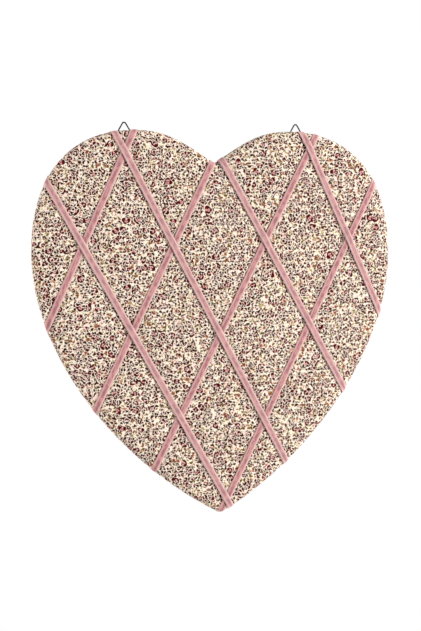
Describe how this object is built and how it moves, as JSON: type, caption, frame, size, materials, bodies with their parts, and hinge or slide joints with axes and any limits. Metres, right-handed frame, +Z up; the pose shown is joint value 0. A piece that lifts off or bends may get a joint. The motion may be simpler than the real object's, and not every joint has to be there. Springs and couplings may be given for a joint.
{
  "type": "memo board",
  "caption": "Heart-shaped padded fabric memo board with a lattice of velvet ribbons that hold notes, hung from two wire rings at the back.",
  "frame": {"origin": "middle of the back panel's rear face, half way between the lobe tops and the tip, on the heart's mirror plane", "axes": "+X to the viewer's right, +Y out of the back towards the wall, +Z up along the heart"},
  "size_m": [0.378, 0.0216, 0.4107],
  "materials": {
    "printed_cotton": "matt cotton with a small printed flower pattern on cream",
    "velvet_ribbon": "dusty rose velvet pile with paler selvedges",
    "wadding": "white polyester wadding",
    "fibreboard": "raw hardboard",
    "grey_card": "matt grey-brown card",
    "ring_wire": "dark drawn steel wire",
    "zinc_plate": "bright zinc plate",
    "staple_steel": "galvanised flat wire"
  },
  "bodies": {
    "board": {"core_board": "fibreboard", "wadding_pad": "wadding", "printed_cover": "printed_cotton", "back_panel": "grey_card", "ribbon_fall_1": "velvet_ribbon", "ribbon_fall_2": "velvet_ribbon", "ribbon_fall_3": "velvet_ribbon", "ribbon_fall_4": "velvet_ribbon", "ribbon_rise_1": "velvet_ribbon", "ribbon_rise_2": "velvet_ribbon", "ribbon_rise_3": "velvet_ribbon", "ribbon_rise_4": "velvet_ribbon", "ribbon_staple_01": "staple_steel", "ribbon_staple_02": "staple_steel", "ribbon_staple_03": "staple_steel", "ribbon_staple_04": "staple_steel", "ribbon_staple_05": "staple_steel", "ribbon_staple_06": "staple_steel", "ribbon_staple_07": "staple_steel", "ribbon_staple_08": "staple_steel", "ribbon_staple_09": "staple_steel", "ribbon_staple_10": "staple_steel", "ribbon_staple_11": "staple_steel", "ribbon_staple_12": "staple_steel", "ribbon_staple_13": "staple_steel", "ribbon_staple_14": "staple_steel", "ribbon_staple_15": "staple_steel", "ribbon_staple_16": "staple_steel", "cover_staple_01": "staple_steel", "cover_staple_02": "staple_steel", "cover_staple_03": "staple_steel", "cover_staple_04": "staple_steel", "cover_staple_05": "staple_steel", "cover_staple_06": "staple_steel", "cover_staple_07": "staple_steel", "cover_staple_08": "staple_steel", "cover_staple_09": "staple_steel", "cover_staple_10": "staple_steel", "cover_staple_11": "staple_steel", "cover_staple_12": "staple_steel", "cover_staple_13": "staple_steel", "cover_staple_14": "staple_steel", "cover_staple_15": "staple_steel", "cover_staple_16": "staple_steel", "cover_staple_17": "staple_steel", "cover_staple_18": "staple_steel", "hanger_strap_left": "zinc_plate", "hanger_screw_left": "zinc_plate", "hanger_strap_right": "zinc_plate", "hanger_screw_right": "zinc_plate"},
    "ring_left": {"hanger_ring_left": "ring_wire"},
    "ring_right": {"hanger_ring_right": "ring_wire"}
  },
  "joints": [
    {"name": "ring_left_swing", "type": "hinge", "parent": "board", "child": "ring_left", "pos_m": [-0.09166, 0.0009, 0.19321], "axis": [-1, 0, 0], "range_deg": [-15, 160]},
    {"name": "ring_right_swing", "type": "hinge", "parent": "board", "child": "ring_right", "pos_m": [0.09166, 0.0009, 0.19321], "axis": [-1, 0, 0], "range_deg": [-15, 160]}
  ]
}
